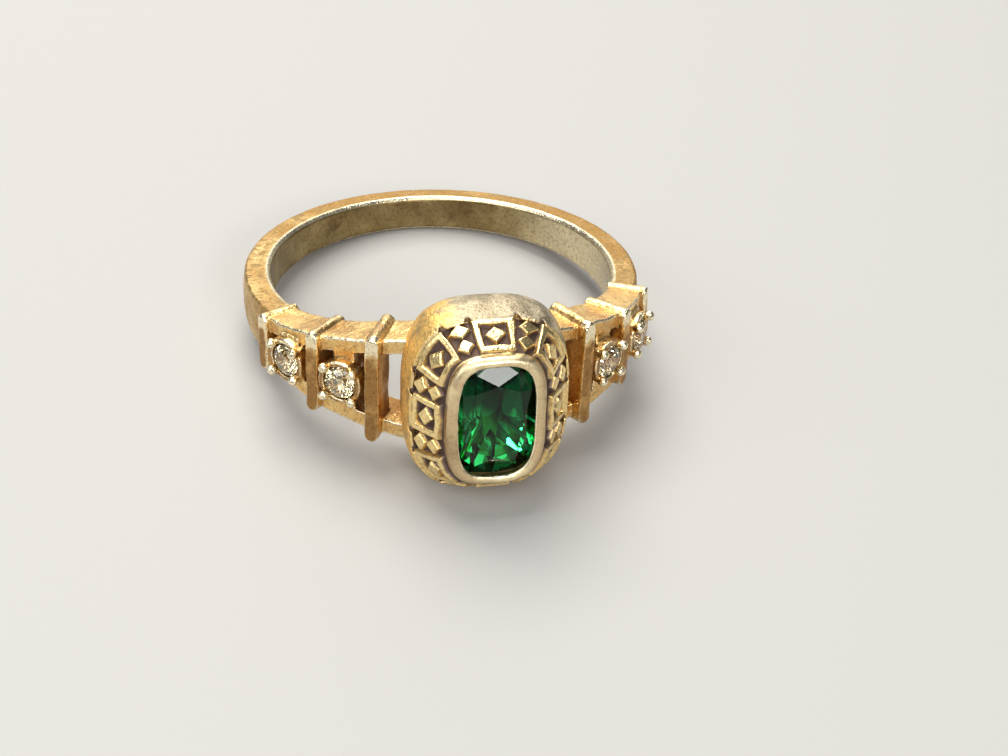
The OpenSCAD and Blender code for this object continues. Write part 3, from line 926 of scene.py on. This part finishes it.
leftShoulder = buildShoulder(-1, "ring_shoulder_left")
rightShoulder = buildShoulder(1, "ring_shoulder_right")
print("shoulders made", len(leftShoulder.data.polygons), len(rightShoulder.data.polygons))

# Head
head = {
    "width": 7.6,
    "length": 9.2,
    "rimWidth": 7.3,
    "rimLength": 8.75,
    "rimHeight": 3.15,
    "lip": 0.12,
    "fieldDepth": 0.2,
    "wallPower": 3.0,
    "bezelPower": 3.4,
    "columns": 760,
    "insideRows": 8,
    "wallRows": 26,
    "fieldRows": 52,
    "lipRows": 4,  # on each side
    "pathSamples": 4001,
    "startGuess": 0.95,  # of the finger hole's radius
    "startTries": 6,
    "waver": 0.014,
    "lumps": 0.004,
    "seed": 41,
}
# The ornament's sizes: shares of a pair of panels or of the slope, and millimetres
ornament = {
    "height": 0.24,
    "pairs": 8,
    "framed": 0.62,
    "lozenge": 0.3,
    "stroke": 0.28,
    "slope": 0.88,
    "lozengeFill": 0.92,
    "softEdge": (0.07, -0.04),
    "waver": 0.04,
    "waverSize": 0.9,
    "seed": 51,
    "notchWidth": 0.3,
    "notchEdge": (0.03, -0.03),
    "notchRows": 4,  # rows of the wall that a notch reaches down
}
# The side wall's sections as shares of the rim's height, the head's width and the head's length
headWall = np.array(
    [(-0.30, 0.80, 0.74), (0, 0.87, 0.84), (0.28, 0.95, 0.94), (0.54, 1.0, 1.0), (0.78, 0.985, 0.985)]
)
stone = {"width": 3.9, "length": 5.9, "crown": 0.5, "girdle": 0.14, "pavilion": 1.7, "gap": 0.06}
bezel = {
    "wall": 0.26,
    "topHeight": 4.9,
    "wallHeight": 0.45,
    "sideLip": 0.22,
    "endLip": 0.14,
    "lip": 0.16,
    "footSpread": 0.05,
    "footUp": 0.06,
    "footOut": 0.01,
    "crown": 0.34,
    "crownOutside": 0.6,  # share of the wall's width outside the crown's highest line
    "crownFlatter": 3,  # how much flatter the crown is towards the opening
    "openingLumps": 0.012,
    "openingRows": 6,
    "roundSteps": 11,
}
pocket = {"ledge": 0.25, "ledgeGaps": 2.5, "lightWidth": 2.2, "lightLength": 4.0, "tableDrop": 0.1}
# The wall's top is grey apart from its left end, the bezel is browner at both sides, and an edge over 0.5
# takes the bright worn colour, as wear on the relief and the lip and as painted highlight round the opening
headWear = {
    "stain": 0.2,
    "lipEdge": 0.68,
    "notchStain": 0.9,
    "notchEdge": 0.45,
    "wallStain": 0.95,
    "greyTop": 0.9,
    "greyAcross": (-2.9, -0.9),
    "greyAlong": (1.6, 3.4),
    "greyWaver": 0.6,
    "greySize": 1.6,
    "seed": 71,
    "fieldEdge": 0.22,
    "reliefEdge": 0.5,
    "bezelEdge": 0.55,
    # Painted highlight round the bezel's opening
    "openingHighlight": 0.8,
    "openingRows": 5,
    "bezelStain": 0.1,
    "sideDarkening": 0.6,
    "leftAcross": (0.6, -2.4),
    "leftAlong": (2.6, -1.0),
    "rightAcross": (1.2, 2.6),
}

rimDistance = ring["holeR"] + head["rimHeight"]
topDistance = ring["holeR"] + bezel["topHeight"]
footDistance = topDistance - bezel["wallHeight"]
girdleTop = topDistance - stone["crown"] - pocket["tableDrop"]
stoneHalf = np.array([stone["width"], stone["length"]]) / 2
seatHalf = stoneHalf + stone["gap"]
bezelHalf = seatHalf + bezel["wall"]
footHalf = bezelHalf + bezel["footSpread"]
openingHalf = stoneHalf - np.array([bezel["sideLip"], bezel["endLip"]])
lightHalf = np.array([pocket["lightWidth"], pocket["lightLength"]]) / 2
rimHalf = np.array([head["rimWidth"], head["rimLength"]]) / 2
valleyHalf = rimHalf - head["lip"] - head["fieldDepth"] / 2


# A rounded rectangle: the half sizes times signed powers of the cosine and sine
def outlineAt(turn, halfWide, halfLong, power):
    cosine, sine = np.cos(turn), np.sin(turn)
    wide = halfWide * np.sign(cosine) * np.abs(cosine) ** (2 / power)
    return wide, halfLong * np.sign(sine) * np.abs(sine) ** (2 / power)


# Columns stand at even steps along the middle of the ornament field
def evenTurns(count):
    turn = np.linspace(0, 2 * np.pi, head["pathSamples"])
    low = outlineAt(turn, *valleyHalf, head["wallPower"])
    high = outlineAt(turn, *footHalf, head["bezelPower"])
    path = (np.stack(low, -1) + np.stack(high, -1)) / 2
    run = np.r_[0, np.cumsum(np.linalg.norm(np.diff(path, axis=0), axis=1))]
    steps = np.linspace(0, run[-1], count, endpoint=False)
    return np.interp(steps, run, turn), steps, run[-1]


turns, alongField, fieldLength = evenTurns(head["columns"])
panelPair = fieldLength / ornament["pairs"]
fieldShares = np.linspace(0, 1, head["fieldRows"])[1:]


# Half sizes of the side wall at a distance: the fourth-power curve nearest to its sections and the rim
def wallHalf(distance):
    heights = np.r_[headWall[:, 0] * head["rimHeight"] + ring["holeR"], rimDistance]
    widths = np.r_[headWall[:, 1] * head["width"] / 2, rimHalf[0]]
    lengths = np.r_[headWall[:, 2] * head["length"] / 2, rimHalf[1]]
    curves = [np.polynomial.Polynomial.fit(heights, sizes, 4) for sizes in (widths, lengths)]
    return curves[0](distance), curves[1](distance)


# One row of the head: a rounded rectangle at a distance, or at one for each column
def headRow(distance, half, power):
    wide, long = outlineAt(turns, half[0], half[1], power)
    return np.stack([wide, long, np.broadcast_to(distance, wide.shape)], -1)


# Rows through pairs of a distance and half sizes
def headRows(levels, power):
    return [headRow(distance, half, power) for distance, half in levels]


# The underside and the start of the wall lie on the finger hole
def onHole(row):
    distance = np.sqrt(ring["holeR"] ** 2 - row[:, 0] ** 2)
    return np.c_[row[:, :2], distance]


# The side wall in even steps to the rim, from where it meets the finger hole, found by repeated tries
def wallRows(count):
    start = np.full(head["columns"], ring["holeR"] * head["startGuess"])
    for _ in range(head["startTries"]):
        start = onHole(headRow(start, wallHalf(start), head["wallPower"]))[:, 2]
    steps = [start + (rimDistance - start) * share for share in np.linspace(0, 1, count)]
    return headRows([(distance, wallHalf(distance)) for distance in steps], head["wallPower"])


# The border: a rounded rise from the wall and a straight fall to the ornament field
def lipLevels():
    lip, depth = head["lip"], head["fieldDepth"]
    shares = np.linspace(0, 1, head["lipRows"] + 1)[1:]
    rise = [(rimDistance + lip / 2 * math.sin(t * math.pi / 2), rimHalf - lip * t) for t in shares]
    top = rimDistance + lip / 2
    return rise + [(top - (lip / 2 + depth) * t, rimHalf - lip - depth / 2 * t) for t in shares]


# The bezel: a foot, then a quarter ellipse up its outside and a flatter one down to the opening
def bezelLevels():
    crown, share = bezel["crown"], bezel["crownOutside"]
    fall = crown / bezel["crownFlatter"]
    outside, inside = share * (bezelHalf - openingHalf), (1 - share) * (bezelHalf - openingHalf)
    turn = np.linspace(0, np.pi / 2, bezel["roundSteps"])
    foot = [(footDistance + bezel["footUp"], bezelHalf + bezel["footOut"])]
    up = [(topDistance - crown * (1 - math.sin(t)), bezelHalf - outside * (1 - math.cos(t))) for t in turn]
    down = [(topDistance - fall * (1 - math.cos(t)), openingHalf + inside * (1 - math.sin(t))) for t in turn]
    return foot + up + down[1:]


# The stone's pocket: under the lip, down the seat, in along the ledge and in to the light hole
def pocketLevels():
    slope = stone["pavilion"] / (stone["width"] / 2)
    ledge = girdleTop - stone["girdle"] - (pocket["ledge"] + pocket["ledgeGaps"] * stone["gap"]) * slope
    return [
        (topDistance - bezel["lip"], openingHalf),
        (girdleTop + stone["gap"], seatHalf),
        (ledge, seatHalf),
        (ledge, stoneHalf - pocket["ledge"]),
        (girdleTop - stone["girdle"] - stone["pavilion"], lightHalf),
    ]


# The head as a closed grid, from the light hole out over the underside, up the wall and into the pocket
def headGrid():
    wallPower, bezelPower = head["wallPower"], head["bezelPower"]
    wall = wallRows(head["wallRows"])
    inner = onHole(headRow(0, lightHalf, bezelPower))
    shares = np.linspace(0, 1, head["insideRows"], endpoint=False)
    valley = headRow(rimDistance - head["fieldDepth"], valleyHalf, wallPower)
    slope = headRow(footDistance, footHalf, bezelPower) - valley
    rows = {
        "inside": [onHole(inner + (wall[0] - inner) * share) for share in shares],
        "wall": wall,
        "lip": headRows(lipLevels(), wallPower),
        "field": [valley + slope * share for share in fieldShares],
        "bezel": headRows(bezelLevels(), bezelPower),
        "pocket": headRows(pocketLevels(), bezelPower),
    }
    zones = np.repeat(list(rows), [len(part) for part in rows.values()])
    return np.concatenate([np.array(part) for part in rows.values()]), zones, slope


# Distance outside a rectangle, below zero inside: the larger of its overhangs
def boxAway(x, y, halfWide, halfTall):
    return np.maximum(np.abs(x) - halfWide, np.abs(y) - halfTall)


# Distance outside a lozenge: the two shares of its half sizes, less one, over their slope
def lozengeAway(x, y, halfWide, halfTall):
    slope = np.hypot(1 / halfWide, 1 / halfTall)
    return (np.abs(x) / halfWide + np.abs(y) / halfTall - 1) / slope


# Raised ornament: framed lozenges take turns with pairs of lozenges, one above the other
def raisedAt(along, across, tall):
    wide, narrow = ornament["framed"] * panelPair, ornament["lozenge"] * panelPair
    stroke = ornament["stroke"]
    x = along - np.round(along / panelPair) * panelPair
    hollow = boxAway(x, across, wide / 2 - stroke, tall / 2 - stroke)
    middle = lozengeAway(x, across, (wide - 3 * stroke) / 2, (tall - 3 * stroke) / 2)
    framed = np.minimum(np.maximum(boxAway(x, across, wide / 2, tall / 2), -hollow), middle)
    x = along - (np.floor(along / panelPair) + 0.5) * panelPair
    stacked = lozengeAway(x, np.abs(across) - tall / 4, narrow / 2, ornament["lozengeFill"] * tall / 4)
    return smoothStep(*ornament["softEdge"], np.minimum(framed, stacked))


# The field raised by the ornament along its own normal, the cross product of its two directions
def raisedField(field, slope):
    slopeLength = np.linalg.norm(slope, axis=1)
    tall = ornament["slope"] * float(slopeLength[0])
    across = (fieldShares[:, None] - 0.5) * slopeLength[None, :]
    waver = ornament["waver"] * lumps(field, ornament["waverSize"], ornament["seed"])
    relief = raisedAt(alongField[None, :] + waver, across + waver[::-1], tall)
    along = np.roll(field, -1, 1) - np.roll(field, 1, 1)
    normal = np.cross(along, np.broadcast_to(slope, field.shape))
    normal /= np.linalg.norm(normal, axis=-1, keepdims=True)
    return field + normal * (relief * ornament["height"])[..., None], relief


# Pointed notches cut the border beside the framed panels: 1 in a notch, 0 outside
def notchesIn(zones):
    beside = (1 + ornament["framed"] - ornament["lozenge"]) / 4
    place = (alongField / panelPair + 0.5) % 1 - 0.5
    nearNotch = np.abs(np.abs(place) - beside) * panelPair
    reach = ornament["notchRows"]
    above = np.arange(len(zones)) - int(np.argmax(zones == "lip"))
    notchHalf = ornament["notchWidth"] / 2 * np.clip((above + reach + 1) / (2 * reach), 0, 1)
    cut = (zones == "lip") | ((zones == "wall") & (above >= -reach))
    inNotch = smoothStep(*ornament["notchEdge"], nearNotch[None, :] - notchHalf[:, None])
    return inNotch * (cut & (notchHalf > 0))[:, None]


# The head's stain and edge values, zone by zone, with a painted highlight round the opening
def headValues(grid, zones, relief, notch):
    wear = headWear
    stain = np.where(notch > 0.5, wear["notchStain"], wear["stain"])
    edge = np.where((zones == "lip")[:, None], wear["lipEdge"], 0.5)
    edge = np.where(notch > 0.5, wear["notchEdge"], edge)
    onWall = zones == "wall"
    patches = wear["greyWaver"] * lumps(grid[onWall], wear["greySize"], wear["seed"])
    across, along = grid[onWall][..., 0], grid[onWall][..., 1] + patches
    grey = smoothStep(*wear["greyAcross"], across) * smoothStep(*wear["greyAlong"], along)
    stain[onWall] = wear["wallStain"] - wear["greyTop"] * grey
    stain[zones == "field"] = 1 - relief
    edge[zones == "field"] = wear["fieldEdge"] + wear["reliefEdge"] * relief
    onBezel = np.nonzero(zones == "bezel")[0]
    edge[onBezel] = wear["bezelEdge"]
    # Painted highlight on the rows round the opening
    edge[onBezel[-wear["openingRows"] :]] = wear["openingHighlight"]
    across, along = grid[onBezel][..., 0], grid[onBezel][..., 1]
    left = smoothStep(*wear["leftAcross"], across) * smoothStep(*wear["leftAlong"], along)
    right = smoothStep(*wear["rightAcross"], across)
    stain[onBezel] = wear["bezelStain"] + wear["sideDarkening"] * np.maximum(left, right)
    return {"stain": stain.ravel(), "edge": edge.ravel()}


# The head's grid, raised, notched, worn most round the opening, and finished zone by zone
def buildHead():
    grid, zones, slope = headGrid()
    inField = zones == "field"
    grid[inField], relief = raisedField(grid[inField], slope)
    notch = notchesIn(zones)
    grid[..., 2] -= np.clip(grid[..., 2] - (rimDistance - head["fieldDepth"]), 0, None) * notch
    nearOpening = np.zeros(len(zones))
    nearOpening[np.nonzero(zones == "bezel")[0][-bezel["openingRows"] :]] = 1
    fine = head["lumps"] + bezel["openingLumps"] * nearOpening
    points = np.stack([grid[..., 0], -grid[..., 2], grid[..., 1]], -1)
    points = worn(points, head["seed"], head["waver"], fine[:, None, None])
    faces = gridQuads(*grid.shape[:2], True, True)
    mesh = makeMesh("ring_head", toRowInBox(points).reshape(-1, 3), faces.tolist())
    finishes = [insideGold, headWallGold, reliefGold, bezelGold, pocketGold]
    finishOf = {"inside": 0, "wall": 1, "lip": 2, "field": 2, "bezel": 3, "pocket": 4}
    piece = addPiece("ring_head", mesh, finishes, headValues(grid, zones, relief, notch))
    rowFinish = np.array([finishOf[zone] for zone in zones], np.int32)
    mesh.polygons.foreach_set("material_index", rowFinish[faces[:, 0] // grid.shape[1]])
    return piece


ringHead = buildHead()
print("head made", len(ringHead.data.polygons))

for piece in (ringShank, leftShoulder, rightShoulder, ringHead):
    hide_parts("ring_casting")

# Stones keep their cut from the frame
for nodeName, node in frame["nodes"].items():
    if "stone" in nodeName:
        node.data.materials.clear()
        node.data.materials.append(greenStone if nodeName == "centre_stone" else clearStone)
print("stones made")

# Floor, light and camera
studio = {
    "floorColour": (0.40, 0.395, 0.38, 1),
    "floorRoughness": 0.7,
    "floorHalf": 1.5,
    "world": (0.16, 0.165, 0.175, 1),
}
floorSheet = bpy.data.meshes.new("floor")
corners = np.array([(-1, -1, 0), (1, -1, 0), (1, 1, 0), (-1, 1, 0)]) * studio["floorHalf"]
floorSheet.from_pydata(corners.tolist(), [], [[0, 1, 2, 3]])
floor = addObject("floor", floorSheet)
floorPaint, floorSurface = newMaterial("floor paint")
floorSurface.inputs["Base Color"].default_value = studio["floorColour"]
floorSurface.inputs["Roughness"].default_value = studio["floorRoughness"]
floorSheet.materials.append(floorPaint)

world = bpy.data.worlds.new("studio")
world.use_nodes = True
world.node_tree.nodes["Background"].inputs["Color"].default_value = studio["world"]
bpy.context.scene.world = world


# A square soft light at an azimuth and a height in degrees, aimed at the ring; azimuth 0 is in front
def softLight(name, azimuth, elevation, distance, size, power, colour):
    light = bpy.data.lights.new(name, "AREA")
    light.size = size
    light.energy = power
    light.color = colour
    lamp = addObject(name, light)
    turn, rise = math.radians(azimuth), math.radians(elevation)
    level = distance * math.cos(rise)
    lamp.location = [level * math.sin(turn), -level * math.cos(turn), distance * math.sin(rise)]
    lamp.rotation_euler = (math.pi / 2 - rise, 0, turn)


warm, cool, white = (1.0, 0.97, 0.92), (0.95, 0.97, 1.0), (1.0, 1.0, 1.0)
# Name, azimuth, elevation, distance and size in metres, power in watts, colour
softLight("key", 195, 64, 0.45, 0.34, 2.9, warm)
softLight("back", 172, 26, 0.6, 0.5, 0.8, warm)
softLight("fill", -70, 35, 0.5, 0.3, 0.9, cool)
softLight("front", 12.5, 31, 0.5, 0.12, 0.9, white)
softLight("over the shoulder", -10, 52, 0.5, 0.3, 0.8, white)

# The camera's place in millimetres and its directions, in the ring's own frame
viewpoint = {
    "place": (-14.8436, -74.1545, 39.2217),
    "right": (0.975183, -0.218057, 0.038327),
    "up": (0.078688, 0.503168, 0.860599),
    "lens": 60.0,
    "sensor": 36.0,
    "clip": (0.005, 10),
}
camera = addObject("camera", bpy.data.cameras.new("camera"))
camera.data.lens = viewpoint["lens"]
camera.data.sensor_width = viewpoint["sensor"]
camera.data.clip_start, camera.data.clip_end = viewpoint["clip"]
place, right, up = (toRow(np.array(viewpoint[label])) for label in ("place", "right", "up"))
right, up = (right - holeCentre) / mm, (up - holeCentre) / mm
directions = np.array([right, up, np.cross(right, up)]).T
camera.matrix_world = Matrix.Translation(place) @ Matrix(directions).to_4x4()
bpy.context.scene.camera = camera
bpy.context.scene.view_settings.view_transform = "Standard"
print("stage made")
